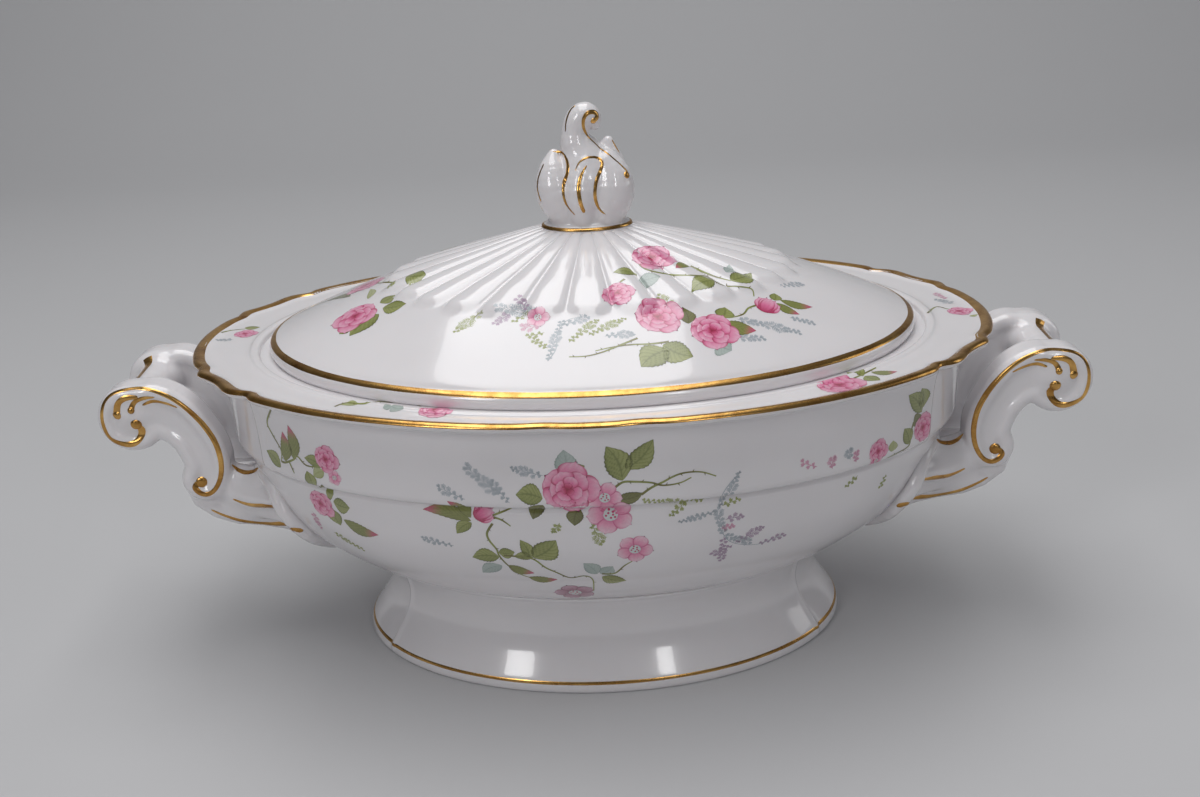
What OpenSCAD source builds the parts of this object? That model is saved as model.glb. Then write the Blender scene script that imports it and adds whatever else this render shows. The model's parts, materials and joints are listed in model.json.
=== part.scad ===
// Covered oval soup tureen: bowl, pedestal foot, two scroll handles, and a lifting lid
// with a sculpted leaf knob. Millimetres, +Z up, X along the oval's long axis.
// The origin is on the table, under the centre of the oval.

/* [Bowl] */
// Rim length, end to end
rim_len = 272; // [250:1:300]
// Rim width, front to back
rim_wid = 190; // [175:1:210]
// Height of the rim's upper edge above the table
rim_z = 108; // [104:1:114]
// Length of the bowl's upper wall, outside
wall_len = 254; // [248:1:258]
// Width of the bowl's upper wall, outside
wall_wid = 172; // [168:1:176]
// Height of the moulded step round the bowl
step_z = 77; // [75:1:80]
// Height of the bowl's underside at its middle
base_z = 23.5; // [21:0.5:26]
// Thickness of the porcelain wall
wall_t = 4; // [3:0.5:5]

/* [Foot] */
// Length of the foot ring on the table
foot_len = 171; // [165:1:180]
// Width of the foot ring on the table
foot_wid = 126; // [118:1:128]
// Height of the pedestal foot
foot_h = 33; // [31:1:34]

/* [Lid] */
// Length of the lid at its edge
lid_len = 220; // [216:1:222]
// Width of the lid at its edge
lid_wid = 156; // [152:1:158]
// Height of the lid's crown above the table
crown_z = 143; // [140:1:147]
// Number of raised lobes round the dome
lobe_count = 28; // [20:4:36]
// Height of each lobe above the dome
lobe_h = 1.7; // [0.5:0.1:2.5]

/* [Knob] */
// Height of the knob above the lid's crown
knob_h = 42; // [36:1:46]
// Length of the knob's round body
knob_len = 33; // [28:1:36]
// Depth of the knob's round body, front to back
knob_dep = 26; // [22:1:30]

/* [Handles] */
// Distance from the centre of the tureen to a handle's top scroll
scroll_x = 155.5; // [152:0.5:160]
// Height of the top scroll's centre
scroll_z = 89; // [87:1:91]
// Radius of the top scroll
scroll_r = 11.5; // [10:0.5:13]
// Height of the lower scroll's centre
curl_z = 65.5; // [64:0.5:67]
// Half the distance between the two arms of a handle
arm_y = 18.5; // [17:0.5:21]
// Width of each arm, front to back
arm_w = 12; // [10:0.5:14]

/* [Hidden] */
around = 120;             // ring points of the bowl
lobe_steps = 6;           // ring points on each lobe of the lid
arm_around = 12;          // ring points of each swept arm
curl_r = 7.4;             // radius of the lower scroll
path_steps = 4;           // spline points between two path stations
seat_drop = 1.7;          // depth of the lid's seat below the flange
seat_gap = 3.5;           // clear space round the lid in its seat
mouth_in = 7;             // how far the mouth is inside the lid's edge
rest_gap = 0.05;          // clearance under the resting lid
seat_z = rim_z - 0.4 - seat_drop;
lid_z = seat_z + rest_gap;
bowl_kb = wall_wid / wall_len;      // oval ratio of the bowl wall
foot_kb = foot_wid / foot_len;      // oval ratio of the foot
eps = 0.5;

// ---------- shared shapes ----------

// Raised ears and notches of the bracketed rim: [angle from the long axis, spread, height]
rim_marks = [[17.2, 1.8, -1.0], [20.6, 1.7, 1.2], [27, 3.2, -0.8],
             [32.5, 2.4, 0.5], [36.4, 1.8, -1.5], [84, 2.4, -0.9]];

function bell(u, mark) = mark[2] * exp(-pow((u - mark[0]) / mark[1], 2));
function total(v, i = 0) = i < len(v) ? v[i] + total(v, i + 1) : 0;
function fold(t) = asin(min(1, abs(sin(t))));
function bracket(t) = total([for (m = rim_marks) bell(fold(t), m)]);

// A closed shell from stations [half length, half width, height, rim mark share]
function ring_points(s, n) = [for (i = [0:n - 1])
    let (t = 360 * i / n, d = s[3] * bracket(t))
    [(s[0] + d) * cos(t), (s[1] + d) * sin(t), s[2]]];

function stack_faces(rings, n) = concat(
    [for (k = [0:rings - 2]) for (i = [0:n - 1]) for (h = [0, 1])
        let (j = (i + 1) % n, a = k * n, b = a + n)
        h == 0 ? [a + i, b + i, b + j] : [a + i, b + j, a + j]],
    [[for (i = [0:n - 1]) i]],
    [[for (i = [n - 1:-1:0]) (rings - 1) * n + i]]);

// Catmull-Rom curve through the stations, for points of any size
function curve_at(p, i, f) =
    let (a = p[max(i - 1, 0)], b = p[i], c = p[i + 1], d = p[min(i + 2, len(p) - 1)])
    0.5 * (2 * b + (c - a) * f + (2 * a - 5 * b + 4 * c - d) * f * f + (3 * b - a - 3 * c + d) * f * f * f);
function curve(p, n) = concat(
    [for (i = [0:len(p) - 2]) for (k = [0:n - 1]) curve_at(p, i, k / n)],
    [p[len(p) - 1]]);

function unit(v) = v / norm(v);

// A rod swept along stations [x, y, z, half thickness, half width]; its width lies near Y
module rod(stations, n = arm_around) {
    c = curve(stations, path_steps);
    last = len(c) - 1;
    pts = [for (i = [0:last])
        let (a = c[max(i - 1, 0)], b = c[min(i + 1, last)],
             dir = unit([b[0] - a[0], b[1] - a[1], b[2] - a[2]]),
             up = unit(cross(dir, [0, 1, 0])), side = cross(dir, up))
        for (k = [0:n - 1])
            [c[i][0], c[i][1], c[i][2]]
            + c[i][3] * cos(360 * k / n) * up + c[i][4] * sin(360 * k / n) * side];
    polyhedron(points = pts, faces = stack_faces(last + 1, n));
}

// ---------- bowl ----------

// A ring of the bowl, by its distance in from the upper wall and its height
function wall_ring(inset, z, share = 0) = [wall_len / 2 - inset, wall_wid / 2 - inset * bowl_kb, z, share];
// Height at a share of the way from the bowl's underside up to the step
function belly_z(f) = base_z + f * (step_z - base_z);

// A ring of the flange, by its distance in from the rim along and across, and below it
function rim_ring(along, across, down, share) =
    [rim_len / 2 - along, rim_wid / 2 - across, rim_z - down, share];
// A ring of the lid's seat, by its distance out from the lid's edge
function seat_ring(out, z, share = 0) = [lid_len / 2 + out, lid_wid / 2 + out, z, share];

// Outside of the bowl from the bottom up, over the rim and down to the seat, then inside down
bowl_outside = [
    wall_ring(69, base_z), wall_ring(55, base_z + 2),
    wall_ring(45, belly_z(0.14)), wall_ring(37, belly_z(0.215)),
    wall_ring(28, belly_z(0.33)), wall_ring(18.5, belly_z(0.48)),
    wall_ring(11, belly_z(0.66)), wall_ring(7, belly_z(0.85)),
    wall_ring(5.4, step_z - 0.8), wall_ring(1.8, step_z + 1.2),
    wall_ring(1, step_z + 11), wall_ring(0, step_z + 21), wall_ring(-2, rim_z - 5.5)];
rim_outside = [
    rim_ring(4.5, 5, 3.4, 0.6), rim_ring(1, 1, 2.6, 1), rim_ring(0, 0, 1.2, 1),
    rim_ring(0.8, 0.8, 0, 1), rim_ring(4, 3.4, 0.3, 0.7),
    [lid_len / 2 + 8.5, lid_wid / 2 + 6, rim_z - 0.8, 0.15],
    seat_ring(seat_gap + 1, rim_z - 0.4), seat_ring(seat_gap, seat_z),
    seat_ring(-mouth_in, seat_z), seat_ring(-mouth_in, seat_z - 3.5)];
bowl_inside = [
    wall_ring(wall_t + 0.5, step_z + 22), wall_ring(wall_t + 1.5, step_z + 9),
    wall_ring(wall_t + 5, step_z), wall_ring(wall_t + 8.5, belly_z(0.76)),
    wall_ring(wall_t + 16.5, belly_z(0.54)), wall_ring(wall_t + 28, belly_z(0.37)),
    wall_ring(wall_t + 41, belly_z(0.24)), wall_ring(wall_t + 63, base_z + wall_t + 3),
    wall_ring(wall_t + 88, base_z + wall_t + 1)];

module bowl() {
    stations = concat(bowl_outside, rim_outside, bowl_inside);
    color("white")
    polyhedron(points = [for (s = stations) each ring_points(s, around)],
               faces = stack_faces(len(stations), around));
}

// ---------- foot ----------

// Flared hollow pedestal; the bowl's underside rests in its upper edge
module foot_profile() {
    a = foot_len / 2;
    polygon([
        [a - 5, -eps], [a, -eps], [a, 1.5], [a - 0.6, 4], [a - 3.5, 8], [a - 7, foot_h - 18],
        [a - 9, foot_h - 13], [a - 9.4, foot_h - 8], [a - 7.5, foot_h - 3.5], [a - 5.2, foot_h],
        [a - 12, foot_h], [a - 14, foot_h - 7], [a - 13.6, foot_h - 15], [a - 11.5, 10], [a - 8, 5]]);
}

module foot() {
    color("white")
    difference() {
        scale([1, foot_kb, 1]) rotate_extrude($fn = 96) foot_profile();
        translate([-foot_len, -foot_len, -10]) cube([2 * foot_len, 2 * foot_len, 10]);
    }
}

// ---------- handles ----------

// One arm of the right-hand handle: top scroll, S-shaped arm and lower scroll
module handle_arm() {
    w = arm_w / 2;
    rod([[scroll_x - 3, arm_y, scroll_z + 1, 8, w], [scroll_x - 7.5, arm_y, scroll_z + 1.2, 9.6, w],
         [scroll_x - 14, arm_y, scroll_z - 1.5, 8.8, w], [scroll_x - 19, arm_y, scroll_z - 7.2, 8, w],
         [scroll_x - 22, arm_y, scroll_z - 12.6, 8, w], [scroll_x - 22, arm_y, curl_z, curl_r, w]]);
    translate([scroll_x, arm_y, scroll_z]) rotate([90, 0, 0])
        cylinder(r = scroll_r, h = arm_w - 0.6, center = true, $fn = 40);
    translate([scroll_x - 21.2, arm_y, curl_z]) rotate([90, 0, 0])
        cylinder(r = curl_r, h = arm_w - 0.4, center = true, $fn = 32);
}

// One side of the leaf that carries the arms: ridge to the bowl, lower edge, and rib on the bowl
module handle_leaf() {
    rod([[scroll_x - 24, arm_y, 61, 5.5, 5], [scroll_x - 33, arm_y + 1, 62, 5, 5],
         [scroll_x - 42, arm_y + 5, 65.5, 4.5, 5], [scroll_x - 48, arm_y + 6, 66.5, 4.5, 4]]);
    rod([[scroll_x - 18, arm_y, 58, 3, 4], [scroll_x - 24, arm_y, 52.5, 4, 4.5],
         [scroll_x - 34, arm_y - 1, 49.5, 4, 4.5], [scroll_x - 46, arm_y - 2, 47.5, 4, 4.5],
         [scroll_x - 53, arm_y - 3, 43.5, 4, 4], [scroll_x - 60, arm_y - 4, 40, 3, 3]]);
    rod([[scroll_x - 42, arm_y + 6, 69.5, 2.4, 3], [scroll_x - 47.5, arm_y + 14, 66.5, 2.6, 3.2],
         [scroll_x - 51.5, arm_y + 19, 59.5, 2.6, 3.4], [scroll_x - 57, arm_y + 16, 50, 2.6, 3.4],
         [scroll_x - 60.5, arm_y + 7, 43, 2.6, 3.2], [scroll_x - 63.5, arm_y - 2, 38, 2.4, 3],
         [scroll_x - 65, arm_y - 7, 36, 2.2, 2.6]]);
}

// Whole right-hand handle: two arms on one leaf-shaped base, and the cross bar between the scrolls
module handle() {
    for (side = [0, 1]) mirror([0, side, 0]) {
        handle_arm();
        handle_leaf();
    }
    translate([scroll_x, 0, scroll_z + 2]) rotate([90, 0, 0])
        cylinder(r = 7.5, h = 2 * arm_y, center = true, $fn = 32);
    rod([[scroll_x - 24, 0, 58, 6, arm_y - 1], [scroll_x - 36, 0, 57, 7.5, arm_y + 1],
         [scroll_x - 43, 0, 56.5, 9, arm_y + 6], [scroll_x - 49, 0, 56, 10, arm_y + 13],
         [scroll_x - 56, 0, 55, 9, arm_y + 13]]);
}

module handle_right() {
    color("white") handle();
}

module handle_left() {
    color("white") mirror([1, 0, 0]) handle();
}

// ---------- lid ----------

// A ring of the lid, by its distance in from the edge along and across, and above its base
function edge_ring(along, across, up, share = 0) =
    [lid_len / 2 - along, lid_wid / 2 - across, lid_z + up, share];
// A ring near the crown, by its half length and half width, and its distance below the crown
function crown_ring(a, b, down, share = 0) = [a, b, crown_z - down, share];

// Outside from the locating ring up to the crown, then inside from the crown down
ring_in = mouth_in + 1.5;
lid_outside = [
    edge_ring(ring_in + 3, ring_in + 3, -6), edge_ring(ring_in, ring_in, -6), edge_ring(ring_in, ring_in, 0),
    edge_ring(0.6, 0.6, 0), edge_ring(0, 0, 1.5), edge_ring(0.3, 0.3, 4.4), edge_ring(2, 2, 5.6),
    edge_ring(12, 10, 10), edge_ring(24, 18.5, 14.6), edge_ring(33, 24, 17.8, 0.05),
    edge_ring(36, 26, 19, 0.9), edge_ring(48, 36, 23.6, 1), edge_ring(64, 47, 28.8, 0.8),
    edge_ring(80, 57, 33, 0.5), crown_ring(20, 14.5, 1.2, 0.15), crown_ring(14, 10.5, 0)];
lid_inside = [
    crown_ring(14, 10.5, 4.5), crown_ring(30, 21, 8), crown_ring(62, 42, 17.5),
    crown_ring(85, 58.5, 26.5), edge_ring(mouth_in + 5, mouth_in + 5, 3)];

function lobe(t) = pow(abs(cos(lobe_count * t / 2)), 0.6);
function lid_ring(s, n) = [for (i = [0:n - 1])
    let (t = 360 * i / n)
    [s[0] * cos(t), s[1] * sin(t), s[2] + s[3] * lobe_h * lobe(t)]];

// The shell is a closed loop of rings: the last inside ring joins the first outside one
module lid() {
    n = lobe_count * lobe_steps;
    rings = concat(lid_outside, lid_inside);
    m = len(rings);
    top = len(lid_outside);
    color("white")
    polyhedron(
        points = [for (s = rings) each lid_ring(s, n)],
        faces = concat(
            [for (k = [0:m - 1]) if (k != top - 1) for (i = [0:n - 1]) for (h = [0, 1])
                let (j = (i + 1) % n, a = k * n, b = ((k + 1) % m) * n)
                h == 0 ? [a + i, b + i, b + j] : [a + i, b + j, a + j]],
            [[for (i = [n - 1:-1:0]) (top - 1) * n + i]],
            [[for (i = [0:n - 1]) top * n + i]]));
}

// ---------- knob ----------

// Round body on a flared collar, in one outline of [radius, height above the crown]
module knob_outline() {
    r = knob_len / 2;
    polygon([[0, -1.5], [15, -1.5], [15, 0.6], [13.2, 2], [12.3, 3.6], [14.2, 7], [r - 0.3, 12], [r, 16],
             [r - 0.8, 20], [r - 3, 24], [r - 7, 27.5], [0, 29]]);
}

// One swept leaf that rises from the knob's body at an angle and curls at its tip
module knob_leaf(turn, rise, reach) {
    rotate([0, 0, turn])
    rod([[reach - 3, 0, crown_z + 6, 2.5, 4], [reach + 0.5, 0, crown_z + 15, 3, 6],
         [reach - 0.5, 0, crown_z + rise - 5, 3, 5], [reach - 4, 0, crown_z + rise, 2, 2.5]], 10);
}

// Tall plume that leans back and curls over at the top
module knob_plume() {
    rod([[-2, 0, crown_z + 16, 9, 8], [-3, 0, crown_z + 24, 8, 7], [-2.8, 0, crown_z + 31, 6.5, 5.5],
         [-0.5, 0, crown_z + knob_h - 5.5, 5, 4.4], [3.4, 0, crown_z + knob_h - 6.6, 3.6, 3.4],
         [4.6, 0, crown_z + knob_h - 9, 2, 2.2]], 14);
}

module knob() {
    color("white") {
        translate([0, 0, crown_z])
            scale([1, knob_dep / knob_len, 1])
            rotate_extrude($fn = 64) knob_outline();
        knob_leaf(180, 27, 13);
        knob_leaf(20, 28, 10);
        knob_plume();
    }
}

// Which piece to draw

bowl();
foot();
handle_left();
handle_right();
lid();
knob();
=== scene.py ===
import json
import math

import bpy
import numpy as np
from mathutils import Matrix, Vector
from mathutils.bvhtree import BVHTree

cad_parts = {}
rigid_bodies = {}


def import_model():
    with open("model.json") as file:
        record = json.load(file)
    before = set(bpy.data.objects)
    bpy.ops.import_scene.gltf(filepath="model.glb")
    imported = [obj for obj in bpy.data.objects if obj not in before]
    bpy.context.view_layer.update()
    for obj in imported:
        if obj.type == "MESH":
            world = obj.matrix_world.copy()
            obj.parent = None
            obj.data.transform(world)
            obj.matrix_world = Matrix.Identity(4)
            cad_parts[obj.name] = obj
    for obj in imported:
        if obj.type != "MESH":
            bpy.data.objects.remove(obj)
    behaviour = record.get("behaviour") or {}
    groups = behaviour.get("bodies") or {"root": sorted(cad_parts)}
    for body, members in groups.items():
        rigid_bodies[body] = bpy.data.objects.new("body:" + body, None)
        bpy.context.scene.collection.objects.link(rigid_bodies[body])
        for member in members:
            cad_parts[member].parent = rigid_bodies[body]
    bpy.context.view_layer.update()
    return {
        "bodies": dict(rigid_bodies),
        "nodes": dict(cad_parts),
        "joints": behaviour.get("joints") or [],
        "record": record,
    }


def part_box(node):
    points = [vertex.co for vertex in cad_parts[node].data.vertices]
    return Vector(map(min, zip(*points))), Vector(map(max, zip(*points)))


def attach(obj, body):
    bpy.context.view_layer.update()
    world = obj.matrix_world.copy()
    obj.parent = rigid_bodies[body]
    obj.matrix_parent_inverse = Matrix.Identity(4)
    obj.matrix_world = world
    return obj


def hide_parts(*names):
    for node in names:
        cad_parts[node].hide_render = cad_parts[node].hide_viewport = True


# Looks of a covered oval porcelain tureen. Shapes are written in millimetres and turned into
# metres when a mesh is made. X runs through the handles, -Y is the front, Z is up.

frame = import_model()
MM = 0.001


# ------ sizes taken from the frame

def top_corner(node):
    """Largest x, y and z of a CAD node."""
    return np.array(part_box(node)[1]) / MM


RIM_A, RIM_B, RIM_Z = top_corner("bowl")
LID_A, LID_B, CROWN_Z = top_corner("lid")
FOOT_A, FOOT_B, FOOT_H = top_corner("foot")
KNOB_TOP = top_corner("knob")[2]

WALL_A, WALL_B = 127.0, 86.0      # half sizes of the bowl's upper wall
STEP_Z = 77.0                     # height of the moulded step
SEAT_Z = RIM_Z - 2.1              # the lid's seat
LID_Z = SEAT_Z + 0.05             # underside of the lid's edge
LOBES = 28


# ------ small maths helpers

def smoothstep(x, low, high):
    f = np.clip((x - low) / (high - low), 0.0, 1.0)
    return f * f * (3 - 2 * f)


def spline(points, steps):
    """Smooth curve through rows of numbers, with `steps` samples between two rows."""
    p = np.asarray(points, float)
    rows = []
    for i in range(len(p) - 1):
        a, b, c, d = p[max(i - 1, 0)], p[i], p[i + 1], p[min(i + 2, len(p) - 1)]
        for f in np.arange(steps) / steps:
            rows.append(0.5 * (2 * b + (c - a) * f + (2 * a - 5 * b + 4 * c - d) * f ** 2
                               + (3 * b - a - 3 * c + d) * f ** 3))
    rows.append(p[-1])
    return np.array(rows)


def spaced(path, gap, least):
    """Smooth curve through sheet points, cut into even steps of about `gap`."""
    points = spline(path, 8)
    run = np.concatenate([[0], np.cumsum(np.linalg.norm(np.diff(points, axis=0), axis=1))])
    at = np.linspace(0, run[-1], max(int(run[-1] / gap), least))
    return np.stack([np.interp(at, run, points[:, k]) for k in (0, 1)], 1)


# ------ meshes

def place_object(name, data):
    obj = bpy.data.objects.new(name, data)
    bpy.context.scene.collection.objects.link(obj)
    return obj


def new_mesh(name, verts, faces, material, colors=None):
    """Smooth-shaded object from points in millimetres, with painted colours where given."""
    mesh = bpy.data.meshes.new(name)
    mesh.from_pydata((np.asarray(verts) * MM).tolist(), [], [list(map(int, f)) for f in faces])
    mesh.update()
    mesh.polygons.foreach_set("use_smooth", [True] * len(mesh.polygons))
    if colors is not None:
        layer = mesh.color_attributes.new("paint", "FLOAT_COLOR", "POINT")
        rgba = np.ones((len(verts), 4), np.float32)
        rgba[:, :3] = colors
        layer.data.foreach_set("color", rgba.ravel())
    mesh.materials.append(material)
    return place_object(name, mesh)


def twin(obj, name, move):
    """Copy of a piece, moved by a matrix that turns or mirrors it about the middle."""
    mesh = obj.data.copy()
    mesh.name = name
    mesh.transform(move)
    if move.is_negative:
        mesh.flip_normals()
    return place_object(name, mesh)


MIRROR = Matrix.Scale(-1, 4, Vector((1, 0, 0)))
HALF_TURN = Matrix.Rotation(math.pi, 4, "Z")


def grid_faces(rows, cols, wrap_rows=False, wrap_cols=False, start=0):
    """Four-sided faces of a grid of points numbered row by row from `start`."""
    i, j = np.meshgrid(np.arange(rows if wrap_rows else rows - 1),
                       np.arange(cols if wrap_cols else cols - 1), indexing="ij")
    i2, j2 = (i + 1) % rows, (j + 1) % cols
    quads = np.stack([i * cols + j, i * cols + j2, i2 * cols + j2, i2 * cols + j], -1)
    return (quads.reshape(-1, 4) + start).tolist()


# ------ ring shells (bowl, foot, lid)

def fold(t):
    """Angle from the nearest end of the long axis, in degrees, 0 to 90."""
    return np.degrees(np.arcsin(np.clip(np.abs(np.sin(t)), 0, 1)))


# Ears and notches of the rim: angle from the end in degrees, spread, height
RIM_MARKS = ((17.2, 2.0, -0.8), (20.6, 2.0, 1.0), (26.5, 3.2, -0.9),
             (32.5, 2.4, 0.6), (36.4, 1.6, -1.7), (84.0, 2.4, -0.9))


def bracket(t):
    """Height of the rim's ears (plus) and notches (minus) at each angle."""
    u = fold(t)
    return sum(h * np.exp(-((u - at) / spread) ** 2) for at, spread, h in RIM_MARKS)


def panel_break(t, at, depth):
    """Set-back of the end panels of a wall, with a slim upright bead at the break."""
    u = fold(t)
    return -depth * (1 - smoothstep(u, at - 1.2, at)) + 0.7 * np.exp(-((u - at - 0.6) / 0.8) ** 2)


AROUND = 480        # points in a ring of the bowl, the foot and the gold bands
RING_STEPS = 5      # rings from one station to the next


class Shell:
    """A surface of oval rings. A station is half length, half width, height and two shares."""

    def __init__(self, stations, shape):
        self.rows = spline(stations, RING_STEPS)
        self.shape = shape

    def row(self, s):
        """Ring at a station number, which may lie between two stations."""
        s = np.clip(np.asarray(s, float) * RING_STEPS, 0, len(self.rows) - 1)
        index = np.arange(len(self.rows))
        return np.stack([np.interp(s, index, self.rows[:, k]) for k in range(self.rows.shape[1])], -1)

    def at(self, s, t):
        return self.shape(self.row(s), np.asarray(t, float))

    def normal(self, s, t):
        ds, dt = 0.04, 0.004
        across = self.at(s + ds, t) - self.at(s - ds, t)
        along = self.at(s, t + dt) - self.at(s, t - dt)
        n = np.cross(along, across)
        return n / np.maximum(np.linalg.norm(n, axis=-1, keepdims=True), 1e-9)

    def mesh(self, name, material, cap_ends=True):
        t = np.linspace(0, 2 * math.pi, AROUND, endpoint=False)
        n = len(self.rows)
        verts = self.shape(self.rows[:, None, :], t[None, :]).reshape(-1, 3)
        faces = grid_faces(n, AROUND, wrap_rows=not cap_ends, wrap_cols=True)
        if cap_ends:
            faces.append(list(range(AROUND))[::-1])
            faces.append([(n - 1) * AROUND + k for k in range(AROUND)])
        return new_mesh(name, verts, faces, material)

    def band(self, name, s0, s1, material, wobble):
        """A gilded band painted on the shell between two stations, a hair proud of it."""
        proud, across = 0.05, 6
        t = np.linspace(0, 2 * math.pi, AROUND, endpoint=False)
        f = np.linspace(0, 1, across + 1)[:, None]
        waver = wobble * (np.sin(7 * t + 1) + 0.6 * np.sin(17 * t + 2) + 0.4 * np.sin(41 * t))
        s = s0 + (s1 - s0) * f + waver[None, :] * (2 * f - 1)
        tt = np.broadcast_to(t[None, :], s.shape)
        lift = proud * (1 - np.abs(2 * f - 1) ** 4) + 0.004
        top = self.at(s, tt) + self.normal(s, tt) * lift[..., None]
        faces = grid_faces(across + 1, AROUND, wrap_cols=True)
        return new_mesh(name, top.reshape(-1, 3), faces, material)


def oval(a, b, z, t):
    return np.stack(np.broadcast_arrays(a * np.cos(t), b * np.sin(t), z), -1)


def bowl_shape(row, t):
    a, b, z, share, panel = (row[..., k] for k in range(5))
    d = share * bracket(t) + panel * panel_break(t, 31.5, 1.1)
    return oval(a + d, b + d, z, t)


def wall(a, z, share=0.0, panel=0.0):
    return (a, a * WALL_B / WALL_A, z, share, panel)


def flange(in_a, in_b, down, share, panel=0.0):
    return (RIM_A - in_a, RIM_B - in_b, RIM_Z - down, share, panel)


def edge(out_a, z, out_b=None, k=0.0):
    """Ring measured outwards from the lid's edge; `k` is its place on the dome, 1 at the edge."""
    return (LID_A + out_a, LID_B + (out_a if out_b is None else out_b), z, 0, k)


BOWL_STATIONS = [
    # belly, from the middle underneath to the step
    *(wall(a, z) for a, z in (
        (40, 23.5), (58, 23.7), (72, 25.5), (82, 31), (90, 35), (99, 41), (108.5, 49), (116, 59),
        (119.9, 69), (121.2, STEP_Z - 3.4), (121.3, STEP_Z - 2.2), (120.9, STEP_Z - 1.3),
        (120.9, STEP_Z - 0.5))),
    # rounded lip over the step, and the upper wall with its end panels
    wall(124.0, STEP_Z + 0.3, 0, 0.2), wall(125.4, STEP_Z + 1.6, 0, 0.6), wall(126.0, STEP_Z + 3.8, 0, 1),
    wall(126.2, 86, 0, 1), wall(127, 96, 0, 1), wall(128.2, 101.8, 0.1, 1),
    # bracketed flange
    flange(5, 5, 3.4, 0.5, 0.4), flange(1.6, 1.6, 2.8, 0.95), flange(0.4, 0.4, 2.0, 1),
    flange(0.1, 0.1, 1.0, 1), flange(1.1, 1.1, 0.05, 1), flange(2.8, 2.6, 0.1, 0.95),
    flange(6, 4.6, 0.9, 0.5), flange(12, 7, 1.0, 0.1),
    # low bead round the lid, then the sunk seat and the mouth
    edge(8.0, RIM_Z - 1.0, 6.5), edge(6.2, RIM_Z - 0.45, 5.4), edge(4.6, RIM_Z - 0.45, 4.4),
    *(edge(out, z) for out, z in (
        (3.8, RIM_Z - 0.9), (3.4, SEAT_Z + 0.2), (2.4, SEAT_Z), (-6, SEAT_Z), (-7, SEAT_Z - 0.6),
        (-7, SEAT_Z - 2.8), (-6.2, SEAT_Z - 3.6))),
    # inside
    *(wall(a, z) for a, z in (
        (122, 99.5), (122.2, 94), (121, 86), (116.6, STEP_Z), (113.6, 64), (106.5, 52), (95, 43),
        (82, 36), (60, 30.5), (35, 28.5)))]
# Where the gold band starts and ends, in station numbers
BOWL_GOLD_S = (21.5, 24.5)


def foot_shape(row, t):
    a, b, z, share, panel = (row[..., k] for k in range(5))
    d = panel * panel_break(t, 29.0, 0.9)
    return oval(a + d, b + d, z, t)


# Inset from the foot's edge, height and share of the end panels: inside, edge, then outside
FOOT_PROFILE = (
    (14, 26, 0), (13.6, 18, 0), (11.5, 10.5, 0), (8, 5, 0), (5.6, 0.8, 0), (4.6, 0.02, 0),
    (1.4, 0.02, 0), (0.4, 0.5, 0), (0.05, 1.6, 0.2), (0.3, 3.4, 0.5), (1.2, 5.2, 0.8), (3.6, 8.8, 1),
    (6.6, 13.5, 1), (8.6, 18.2, 1), (9.3, 23, 1), (8.4, 27.4, 0.8), (6.6, 30.6, 0.3), (5.2, 32.2, 0),
    (5.4, FOOT_H - 0.05, 0), (12, FOOT_H - 0.1, 0))
FOOT_STATIONS = [(FOOT_A - inset, FOOT_B - inset * 0.82, z, 0, panel) for inset, z, panel in FOOT_PROFILE]
FOOT_GOLD_S = (8.95, 9.6)


def lobe_height(k, t):
    """Raised lobes of the dome: k is 0 at the crown's centre and 1 at the lid's edge."""
    phase = LOBES * t / (2 * math.pi)
    across = 2 * (phase - np.round(phase))
    end = smoothstep(0.650 - 0.045 * across ** 2 - k, 0.0, 0.045)
    width = np.clip(k / 0.62, 0.0, 1.0) ** 0.9
    section = np.clip(1 - np.abs(across) ** 2.3, 0, 1) ** 0.62
    return 2.1 * width * section * end


def lid_shape(row, t):
    a, b, z, share, k = (row[..., i] for i in range(5))
    return oval(a, b, z + share * lobe_height(k, t), t)


# Locating ring, underside and rounded edge of the lid: out from the edge, above its underside
LID_EDGE = ((-11.5, -5.4), (-10.8, -6), (-9.2, -6), (-8.5, -5.4), (-8.5, -0.3), (-8.0, 0),
            (-1.6, 0), (-0.6, 0.4), (-0.05, 1.6), (-0.1, 3.2), (-0.9, 4.5), (-2.6, 5.3))
# Dome: share of the lid's size, height above its underside
LID_DOME = ((0.95, 6.6), (0.90, 9.0), (0.82, 12.6), (0.75, 15.6), (0.70, 17.6), (0.66, 19.1),
            (0.60, 21.2), (0.54, 23.3), (0.47, 25.8), (0.40, 28.1), (0.33, 30.4), (0.26, 32.8),
            (0.20, 34.8), (0.15, CROWN_Z - LID_Z - 0.6), (0.12, CROWN_Z - LID_Z - 0.1))
LID_STATIONS = ([edge(out, LID_Z + rise, k=1.0) for out, rise in LID_EDGE]
                + [(LID_A * k, LID_B * k, LID_Z + rise, 1.0, k) for k, rise in LID_DOME])
LID_GOLD_S = (9.55, 10.9)
LID_INSIDE = [
    (13, 9.5, CROWN_Z - 4.5, 0, 0), (30, 21, CROWN_Z - 8.5, 0, 0), (62, 42, CROWN_Z - 17.5, 0, 0),
    (85, 58.5, CROWN_Z - 26.5, 0, 0), edge(-12, LID_Z + 3), edge(-11.6, LID_Z - 3)]


# ------ sculpted shapes

FAR = 99.0          # distance value of an empty block
CORNERS = [(i, j, k) for i in (0, 1) for j in (0, 1) for k in (0, 1)]


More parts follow.
